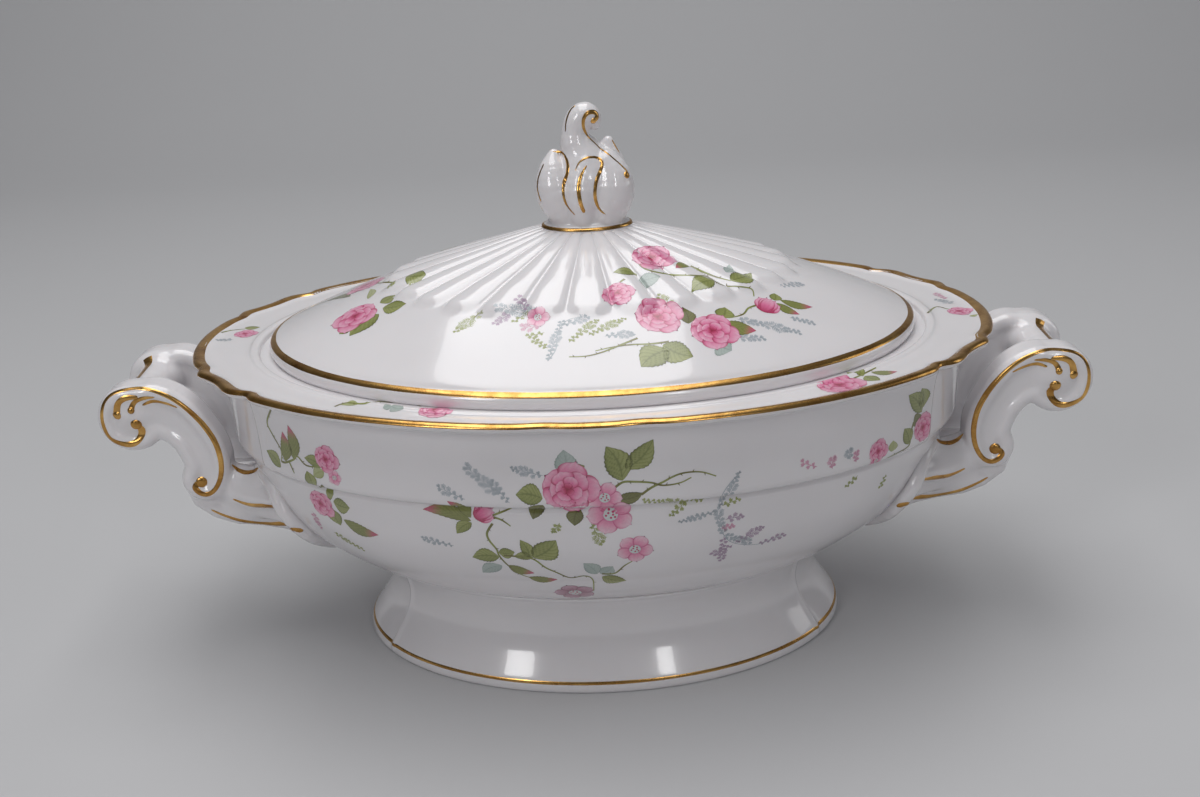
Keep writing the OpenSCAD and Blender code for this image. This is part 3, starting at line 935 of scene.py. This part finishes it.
# Sprays: for each kind of sketch, where each one goes on the sheet (x, v), its size, turn and ink.
# The places are not a design of their own. Nearly all were noted by eye on the tureen's own print
# and worked out in sheet millimetres by a helper program, whose printed numbers were copied in.
BOWL_FRONT = {
    "fern": [((-29, 48), (-38.5, 57), 4.5), ((-15.5, 53.5), (-25, 56), 3), ((-39.5, 47), (-47.5, 51), 3),
        ((-26, 45.5), (-31, 52), 3), ((-2, 38), (1, 31.5), 3.5, OLIVE),
        ((-11.5, 38.5), (-13.5, 35.5), 2.5, OLIVE), ((-45, 32), (-55, 34.5), 2.5),
        ((36.5, 40), (24.5, 37), 2), ((32.5, 44), (14, 44.5), 2.5, OLIVE),
        ((30, 44.5), (22, 39), 2, OLIVE), ((38.5, 31.5), (38, 23.5), 3, LILAC),
        ((41.5, 28.5), (35, 25.5), 3, LILAC), ((39, 37), (44.5, 38), 3, LILAC),
        ((38, 41.5), (43.5, 43.5), 2.5, OLIVE), ((42, 29), (51, 34), 3, LILAC),
        ((49.5, 28), (58, 30.5), 3, LILAC), ((37.5, 34), (41.5, 35), 3, PINK), ((37, 41), (43, 52), 2.5),
        ((38.5, 32), (36.5, 40.5), 3.5), ((38.5, 32), (47, 29), 3.5)],
    "stem": [[(5, 48.5), (8, 50.5), (11.5, 50.5), (16.5, 50), (20, 49), (25, 49.5), (28.5, 51)],
        [(13.5, 46.5), (16.5, 48.5), (20, 50), (23, 51.5), (26.5, 52.5), (31.5, 52.5), (36, 51)],
        [(-32, 41.5), (-29, 42.5), (-25, 44)], [(-31.5, 41), (-29, 40), (-26.5, 38)],
        [(-32, 39), (-34, 36), (-33.5, 33.5), (-31.5, 30.5), (-31, 28.5), (-29, 25.5), (-25.5, 22),
         (-21, 20)],
        [(-29.5, 28.5), (-25.5, 28), (-20.5, 27), (-17, 24), (-13.5, 22), (-9.5, 20), (-5, 20.5),
         (-2.5, 19), (-2.5, 14.5)], [(0.5, 21), (4.5, 21), (7.5, 23.5), (10, 25)]],
    "twig": [[(43, 51.5), (38, 45.5), (36.5, 37.5), (38.5, 32), (42, 29), (49.5, 28), (57.5, 30.5)]],
    "leaf": [((-9.5, 53.5), (-9, 61), 6.5, TEAL), ((-8, 54), (-3, 56), 5), ((8, 51), (3.5, 61.5), 8),
        ((9, 54.5), (17.5, 63), 6.5), ((-16, 44.5), (-19.5, 40), 5, DARK),
        ((-5.5, 43), (-7, 37.5), 5, DARK), ((6, 45.5), (14, 47), 4, DARK), ((-16, 46.5), (-24, 48), 7),
        ((-38.5, 40), (-53.5, 44), 4.5, BUD), ((-38.5, 41), (-45, 46.5), 4, BUD),
        ((-38.5, 39.5), (-43.5, 36), 4), ((-31, 28), (-39.5, 28), 6), ((-31, 29.5), (-26, 29.5), 4.5),
        ((-30.5, 25), (-37, 22.5), 5, TEAL), ((-21.5, 27.5), (-24, 33.5), 4),
        ((-20.5, 27.5), (-13, 33), 8), ((-20.5, 27.5), (-26.5, 28), 3.5),
        ((-28.5, 25), (-20.5, 22), 4, BUD), ((-22.5, 20.5), (-13.5, 19.5), 4, BUD),
        ((-1, 21), (-5, 25), 5, TEAL), ((0, 21), (4, 23.5), 5, TEAL), ((0.5, 20), (8, 18), 5.5)],
    "bud": [((-35, 42), 4, -60)],
    "small": [((4, 40.5), 7.5, 21), ((2.5, 46), 5.5, 49), ((11, 29), 6, 42), ((-8.5, 14), 7, 19, MAUVE)],
    "rose": [((-8.5, 49), 9, 54)]}
BOWL_LEFT = {
    "fern": [((-86, 36), (-76.5, 30), 3, OLIVE), ((-92.5, 43), (-90.5, 37), 3, PINK)],
    "stem": [[(-101, 76.5), (-103.5, 72.5), (-102, 68.5), (-99.5, 63.5), (-100, 60)],
        [(-100, 60), (-98.5, 59.5), (-95, 60.5), (-93.5, 61.5), (-90.5, 58.5), (-85, 58)],
        [(-97, 60), (-95.5, 56)]],
    "leaf": [((-98.5, 60), (-98, 69.5), 5, BUD), ((-95, 60.5), (-95.5, 71.5), 5, BUD),
        ((-100.5, 58), (-105.5, 63.5), 5), ((-85, 58), (-91, 61), 4),
        ((-84.5, 56.5), (-88.5, 55), 4, OLIVE), ((-87.5, 51), (-90, 53.5), 5),
        ((-85.5, 50.5), (-83, 49), 5), ((-83.5, 46.5), (-78, 44.5), 6), ((-84.5, 44), (-82.5, 38.5), 6),
        ((-81, 40.5), (-69.5, 35.5), 5, BUD)],
    "small": [((-81, 54.5), 2.8, 56)],
    "rose": [((-83.5, 60.5), 5, 45), ((-88.5, 46), 5.5, 12)]}
BOWL_RIGHT = {
    "fern": [((82, 48), (78, 44.5), 2.5, OLIVE), ((92.5, 47.5), (91, 43.5), 2.5, OLIVE),
        ((67.5, 52), (62.5, 53.5), 3, PINK), ((72.5, 51), (72.5, 54), 3, PINK),
        ((78.5, 53.5), (78, 56), 3), ((80.5, 52.5), (80.5, 55.5), 3, PINK)],
    "stem": [[(101, 64), (100, 60.5), (99.5, 56.5), (95.5, 54.5), (91.5, 53)]],
    "leaf": [((104.5, 68.5), (103.5, 74.5), 6), ((104, 67), (98.5, 72.5), 6),
        ((104, 66), (101, 62.5), 5, DARK), ((99.5, 57), (97.5, 62), 5),
        ((93, 55), (93.5, 58.5), 4, OLIVE)],
    "small": [((87.5, 52.5), 2.8, 60)],
    "rose": [((104.5, 62), 5.2, 55), ((88, 55.5), 4.2, 44)]}
LID_RIGHT = {
    "fern": [((46, 98.5), (65.5, 93.5), 4), ((45, 92.5), (53.5, 92), 4), ((62, 109.5), (70, 110.5), 3),
        ((63, 98.5), (70.5, 96.5), 3), ((26.5, 102.5), (21.5, 107), 4, OLIVE),
        ((-6.5, 93), (2.5, 100), 3, OLIVE), ((-0.5, 95), (11, 100), 3, OLIVE),
        ((4.5, 94.5), (13.5, 95), 3)],
    "stem": [[(24, 92), (18.5, 91.5), (12.5, 91.5), (7, 91), (1.5, 90)],
        [(14.5, 93.5), (10.5, 92), (3.5, 89.5), (-1.5, 88.5), (-6.5, 88.5)],
        [(16, 119), (18, 116.5), (22, 115), (27.5, 114), (35, 113.5), (38, 113), (42.5, 110),
         (47.5, 109.5), (52, 108.5), (52.5, 106)], [(33, 117), (37, 115), (41, 113), (45.5, 111.5)],
        [(11.5, 113), (10, 112), (9, 110.5)], [(53, 103), (50, 102), (48, 100), (44, 99)]],
    "leaf": [((38.5, 91), (43, 88.5), 8, TEAL), ((16, 112.5), (21.5, 113.5), 6, TEAL),
        ((44.5, 114.5), (46, 117.5), 4, TEAL), ((22, 91), (31, 87), 9), ((23.5, 89.5), (15, 84.5), 9),
        ((30.5, 97.5), (29, 103), 5, DARK), ((41, 99), (42.5, 102.5), 6),
        ((42, 97.5), (51.5, 94.5), 6, BUD), ((15.5, 114.5), (8.5, 115.5), 4),
        ((40, 111.5), (33, 108.5), 7), ((45.5, 111.5), (52.5, 114), 7), ((59, 104.5), (59.5, 107), 4),
        ((61, 104.5), (71.5, 102), 4, BUD), ((59.5, 103.5), (66.5, 99.5), 4, BUD),
        ((33, 117), (28.5, 116.5), 3.5, BUD)],
    "bud": [((56, 102.5), 5, -60)],
    "rose": [((21, 100), 8, 70), ((37.5, 95), 8, 26), ((20.5, 120.5), 7.2, 54), ((9, 108.5), 5.5, 10)]}
LID_LEFT = {
    "fern": [((-68, 115.5), (-65, 117), 3, OLIVE)],
    "stem": [[(-103.5, 110), (-97, 112.5), (-90, 114), (-82, 114.5)],
        [(-77.5, 117.5), (-75, 118.5), (-64.5, 117.5)]],
    "leaf": [((-61, 119), (-54, 119), 8), ((-82, 114), (-93, 113.5), 4, DARK),
        ((-69, 110), (-64, 112.5), 6), ((-67.5, 108), (-59.5, 109), 7), ((-68.5, 106), (-77.5, 99), 9),
        ((-77.5, 102), (-81.5, 100), 5), ((-74, 112), (-74.5, 116), 3, OLIVE)],
    "rose": [((-77, 118.5), 7.5, 7), ((-77, 106), 8.5, 7)]}
LID_TWIG = {
    "fern": [((-33.5, 105), (-41.5, 98.5), 4, OLIVE), ((-24.5, 103.5), (-29.5, 100), 4, LILAC),
        ((-15, 103.5), (-29, 105.5), 5), ((-19, 104), (-22.5, 108.5), 4, LILAC),
        ((-19, 104), (-23.5, 100.5), 3, OLIVE), ((-15, 98.5), (-20.5, 98.5), 4, PINK),
        ((-14, 96.5), (-19, 95.5), 3, OLIVE), ((-13, 91.5), (-17.5, 94.5), 3, OLIVE),
        ((-13, 87.5), (-8.5, 100), 3), ((-8.5, 98.5), (-0.5, 101), 3)],
    "twig": [[(-13, 87.5), (-10.5, 91), (-10, 95.5), (-8.5, 98.5), (-6, 100.5), (-1, 101)]],
    "small": [((-16, 101.5), 4, 61)]}
RIM_FRONT_LEFT = {
    "stem": [[(-78, 76.5), (-75, 77.5), (-70, 77), (-66, 77.5), (-61, 77), (-56.5, 76.8), (-52, 75.5)]],
    "leaf": [((-71, 77), (-76.5, 77), 3, OLIVE), ((-60.5, 76), (-63, 75.5), 4, TEAL),
        ((-60.5, 76), (-56.5, 75), 5, TEAL)],
    "rose": [((-47, 74.5), 5.8, 49)]}
RIM_FRONT_RIGHT = {
    "stem": [[(80, 78.5), (83, 79.5), (88, 81.5)]],
    "leaf": [((83, 79), (79, 80.5), 4), ((83.5, 79), (87.5, 77.5), 5), ((86, 80), (94, 80), 4, BUD)],
    "rose": [((74.5, 76.5), 8, 71)]}
RIM_BACK_RIGHT = {
    "fern": [((127, 103.5), (121.5, 105.5), 4), ((125.5, 105.5), (123, 108), 3, PINK)],
    "stem": [[(115, 100), (120, 102.5), (123, 101.5), (125.5, 101)]],
    "leaf": [((128.5, 98.2), (131.5, 98.8), 2.2, OLIVE)],
    "rose": [((126.3, 100.3), 4.6, 65)]}
RIM_BACK_LEFT = {
    "fern": [((-124.5, 101.5), (-130.5, 101.5), 3)],
    "stem": [[(-130.5, 104.4), (-127.5, 105.2), (-123, 105.5)]],
    "leaf": [((-123.5, 106), (-118, 106), 4)],
    "rose": [((-122, 103.5), 4.4, 59)]}


def flowers(name, obj, *sprays):
    paint = Paint(obj)
    for spray in sprays:
        for kind, rows in spray.items():
            for row in rows:
                SKETCHES[kind](paint, *row)
    return paint.mesh(name, PAINT)


front_flowers = flowers("bowl_flowers_front", bowl, BOWL_FRONT)
end_flowers = flowers("bowl_flowers_ends", bowl, BOWL_LEFT, BOWL_RIGHT)
rim_flowers = flowers("bowl_flowers_rim", bowl, RIM_FRONT_LEFT, RIM_FRONT_RIGHT, RIM_BACK_RIGHT,
                      RIM_BACK_LEFT)
lid_flowers = flowers("lid_flowers_front", lid, LID_RIGHT, LID_TWIG)
lid_left_flowers = flowers("lid_flowers_left", lid, LID_LEFT)
bowl_paint = [front_flowers, end_flowers, rim_flowers, twin(front_flowers, "bowl_flowers_back", HALF_TURN),
              twin(end_flowers, "bowl_flowers_back_ends", HALF_TURN)]
lid_paint = [lid_flowers, lid_left_flowers, twin(lid_flowers, "lid_flowers_back", HALF_TURN)]


# ------ gilding

def gild(paint, path, widths):
    """Gilded line in low relief; `widths` are spread evenly along it."""
    spots = [paint.spot(p) for p in spaced(path, 0.4, 8)]
    f = np.linspace(0, 1, len(spots))
    half = np.interp(f, np.linspace(0, 1, len(widths)), widths) / 2
    half *= np.sqrt(np.clip(np.minimum(f, 1 - f) / 0.02, 0.15, 1))
    gold_ribbon(paint, even(spots), half, 0.16)


def gold_ribbon(paint, spots, half_widths, dome):
    """Ribbon of gold; gold has its own material, so its painted colour is left black."""
    paint.strip(spots, half_widths, np.zeros((len(spots), 3)), GOLD_LIFT, dome, cols=7)


def even(spots, rounds=3):
    """Takes the jitter out of a row of spots that crosses folds of the clay."""
    for _ in range(rounds):
        inner = [((a[0] + 2 * b[0] + c[0]) / 4, (a[1] + 2 * b[1] + c[1]).normalized())
                 for a, b, c in zip(spots[:-2], spots[1:-1], spots[2:])]
        spots = [spots[0]] + inner + [spots[-1]]
    return spots


def bead(paint, center, radius):
    """Round gilded bead, as at the end of a scrolled line."""
    f = np.linspace(1, 0, 8)[:, None]
    a = np.linspace(0, 2 * math.pi, 21)[None, :]
    lift = GOLD_LIFT + 0.45 * radius * np.sqrt(np.clip(1 - f ** 2, 0, 1)) + 0 * a
    paint.skin(paint.frame(center), radius * f * np.cos(a), radius * f * np.sin(a), np.zeros(3), lift)


def gild_all(paint, lines, beads=()):
    for path, widths in lines:
        gild(paint, path, widths)
    for center, radius in beads:
        bead(paint, center, radius)


# Lines on one face of the right-hand handle, as sheet points: the long border with its two curls,
# the commas inside the top scroll, and the drops on the leaf. Copied in from the same helper
# program as the sprays, and some points were then moved by hand.
HANDLE_BORDER = [(153, 73.5), (152, 71.5), (153, 69), (155.5, 67), (159, 67), (163, 69), (164.5, 73),
                 (164.5, 77.5), (163, 81.5), (160, 84), (155.5, 85.2), (150.5, 85.5), (145, 84),
                 (139.5, 81), (135, 77), (131, 72), (128, 66), (127, 59.5), (128, 54), (130.5, 50),
                 (133.5, 48.5), (136, 49.5), (137, 51.5), (135, 53.5)]
HANDLE_LINES = (
    (HANDLE_BORDER, (2.6, 2.0, 1.3, 1.2, 1.2, 1.5, 1.9, 1.8, 1.5, 2.2)),
    ([(139, 78.5), (142.5, 80), (147, 81), (150.5, 79.8)], (0.5, 1.2, 1.5, 0.7)),
    ([(151.5, 82.4), (155.5, 82.4), (158.5, 80.6), (159.5, 77.2)], (1.2, 2.0, 2.0, 2.6)),
    ([(146, 82.2), (150, 82), (153, 80.8), (154.2, 78.6)], (0.5, 1.4, 1.5, 2.0)),
    ([(107.5, 43.8), (112, 44), (119, 44.5), (125, 46.5)], (1.4, 2.4, 1.8, 0.6)),
    ([(99, 35.6), (103.5, 36.6), (109, 36.9), (114.5, 37.0), (123, 38.4), (129, 40.6), (133.5, 43)],
     (1.6, 2.2, 2.2, 1.8, 1.2, 0.6)),
    ([(114.1, 57.0), (116.7, 55.9), (119.7, 55.6), (122.8, 56.6), (124.8, 58.4)],
     (0.8, 1.5, 1.6, 1.3, 0.7)))
HANDLE_BEADS = (((153.4, 73.4), 1.9), ((134.8, 53.0), 1.9), ((159.5, 76.8), 1.5), ((154.3, 78.2), 1.2))


def build_handle_gilding():
    paint = Paint(handle_right)
    for facing in (1, -1):
        paint.facing = facing
        gild_all(paint, HANDLE_LINES, HANDLE_BEADS)
    # line along the outer edge of the cross bar, flared at both ends
    reach = 12.5
    ys = np.linspace(-reach, reach, 48)
    slope = Vector((-0.6, 0, -1)).normalized()
    spots = [paint.land(Vector((158, float(y), 98)), slope) for y in ys]
    gold_ribbon(paint, spots, 1.0 + 0.8 * (ys / reach) ** 2, 0.1)
    return paint.mesh("handle_right_gilding", GOLD)


# Lines on the knob, as sheet points, also copied in from the helper program
KNOB_LINES = (
    ([(-7.6, 157.5), (-6.2, 155.6), (-5.3, 152.5), (-5.7, 149.2), (-6.9, 146.4), (-7.2, 143.1),
      (-6.6, 140.3), (-5.3, 138), (-3.7, 136.1)], (0.6, 0.9, 1.2, 1.3, 1.0, 0.8, 0.7, 0.4)),
    ([(-13.2, 153.2), (-14.6, 150.4), (-15.5, 147.8), (-15.6, 144.7), (-14.7, 141.2)], (0.5, 0.8, 0.6)),
    ([(0.9, 151.6), (-0.7, 149.1), (-1.8, 146.2), (-2.1, 143.3), (-1.7, 139.7), (-0.6, 136.6)],
     (0.4, 1.0, 1.3, 1.3, 1.1)),
    ([(-2.9, 150.1), (-1.7, 152.5), (0.6, 154), (3.2, 154.4), (5.1, 153.9), (6, 152.2), (5.2, 149.8),
      (3.9, 146.9), (3.2, 143.3), (3.3, 140.5), (4.4, 137.7), (6.3, 136)],
     (0.3, 0.7, 0.9, 1.2, 1.2, 1.1, 0.4)),
    ([(3.6, 166.2), (4.5, 166.7), (5.1, 167.8), (4.3, 168.8), (2.9, 168.8), (1.4, 168), (0.5, 166.5),
      (0.3, 164.4), (1.2, 162.2), (3.4, 159.8), (5.8, 157.3), (9.4, 154.1), (12.2, 151.5), (14.2, 149.4)],
     (1.8, 1.6, 1.2, 1.0, 0.7, 0.6, 0.5, 0.5, 0.8)),
    ([(-2.1, 171.4), (-3.5, 170.2), (-4.7, 168), (-5.4, 165.5), (-5.6, 163.1)], (1.0, 0.8, 0.4)),
    ([(9.5, 160.9), (10.3, 159.3), (11.3, 157.7), (11.8, 156.8)], (0.5, 0.8, 0.5)))
KNOB_BEADS = (((3.7, 166.1), 1.0), ((13.8, 148.4), 1.2))


def build_knob_gilding():
    paint = Paint(knob)
    gild_all(paint, KNOB_LINES, KNOB_BEADS)
    paint.facing = -1
    gild_all(paint, KNOB_LINES[:4])
    # ring round the edge of the flared collar
    spots = []
    for a in np.linspace(0, 2 * math.pi, 161):
        out = Vector((math.cos(a), math.sin(a), 0))
        edge_point = Vector((15.3 * out.x, 10.8 * out.y, CROWN_Z + 1.0))
        spots.append(paint.land(edge_point, -out))
    paint.strip(spots, np.full(len(spots), 0.62), np.zeros((len(spots), 3)), GOLD_LIFT, 0.1, cols=5)
    return paint.mesh("knob_gilding", GOLD)


handle_right_gold = build_handle_gilding()
handle_left_gold = twin(handle_right_gold, "handle_left_gilding", MIRROR)
knob_gold = build_knob_gilding()
gold_rim = bowl_shell.band("bowl_gold_rim", *BOWL_GOLD_S, GOLD, wobble=0.03)
gold_foot = foot_shell.band("foot_gold_line", *FOOT_GOLD_S, GOLD, wobble=0.015)
gold_lid = lid_shell.band("lid_gold_edge", *LID_GOLD_S, GOLD, wobble=0.03)
bowl_gold = [gold_rim, gold_foot, handle_right_gold, handle_left_gold]
lid_gold = [gold_lid, knob_gold]


# ------ what each piece rides on

for piece, node in ((bowl, "bowl"), (foot, "foot"), (handle_left, "handle_left"),
                    (handle_right, "handle_right"), (lid, "lid"), (knob, "knob")):
    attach(piece, "cover" if node in ("lid", "knob") else "tureen")
    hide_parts(node)
for piece in bowl_gold + bowl_paint:
    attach(piece, "tureen")
for piece in lid_gold + lid_paint:
    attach(piece, "cover")


# ------ studio

def build_floor():
    """One pale sheet: a floor that curves up into a backdrop."""
    wide, depth, bend, back, top = 6.0, 6.0, 0.5, 1.3, 2.4
    profile = [(-depth, 0.0), (back - bend, 0.0)]
    for a in np.linspace(0, math.pi / 2, 13)[1:]:
        profile.append((back - bend + bend * math.sin(a), bend * (1 - math.cos(a))))
    profile.append((back, top))
    verts = [(x / MM, y / MM, z / MM) for y, z in profile for x in (-wide, wide)]
    material, tree, shader = node_tree("studio_floor")
    fill(tree, shader, {"Base Color": (0.56, 0.56, 0.57, 1), "Roughness": 0.75})
    faces = [(2 * k, 2 * k + 1, 2 * k + 3, 2 * k + 2) for k in range(len(profile) - 1)]
    new_mesh("studio_floor", verts, faces, material)


def area_light(name, place, aim, size, power):
    data = bpy.data.lights.new(name, "AREA")
    data.shape = "RECTANGLE"
    data.size, data.size_y = size
    data.energy = power
    obj = place_object(name, data)
    obj.location = place
    obj.rotation_euler = (Vector(aim) - Vector(place)).to_track_quat("-Z", "Y").to_euler()


def build_studio():
    build_floor()
    area_light("top_light", (-0.1, 0.0, 1.25), (0, 0, 0.1), (1.5, 0.8), 11.5)
    area_light("left_window", (-0.8, -1.2, 0.8), (0, 0, 0.08), (0.3, 0.5), 3.6)
    area_light("right_window", (0.55, -1.35, 0.75), (0, 0, 0.08), (0.16, 0.4), 1.6)
    area_light("side_glow", (1.5, 0.2, 0.7), (0, 0, 0.08), (0.6, 0.9), 2.2)
    world = bpy.data.worlds.new("studio_world")
    world.use_nodes = True
    fill(world.node_tree, world.node_tree.nodes["Background"],
         {"Color": (0.9, 0.92, 1.0, 1), "Strength": 0.09})
    bpy.context.scene.world = world


def build_camera():
    """Camera a little above the table, square to the long side, with a slight roll."""
    yaw, rise, roll = math.radians(0.5), RISE, math.radians(-2.6)
    reach, target = 0.525, Vector((0.0017, -0.001, 0.081))
    back = Vector((math.sin(yaw) * math.cos(rise), -math.cos(yaw) * math.cos(rise), math.sin(rise)))
    level = Vector((math.cos(yaw), math.sin(yaw), 0))
    right = math.cos(roll) * level + math.sin(roll) * back.cross(level)
    up = back.cross(right)
    data = bpy.data.cameras.new("camera")
    data.lens, data.sensor_width, data.clip_start = 45.0, 36.0, 0.01
    camera = place_object("camera", data)
    turn = Matrix((right, up, back)).transposed().to_4x4()
    camera.matrix_world = Matrix.Translation(target + back * reach) @ turn
    bpy.context.scene.camera = camera


build_studio()
build_camera()
bpy.context.scene.view_settings.view_transform = "Standard"
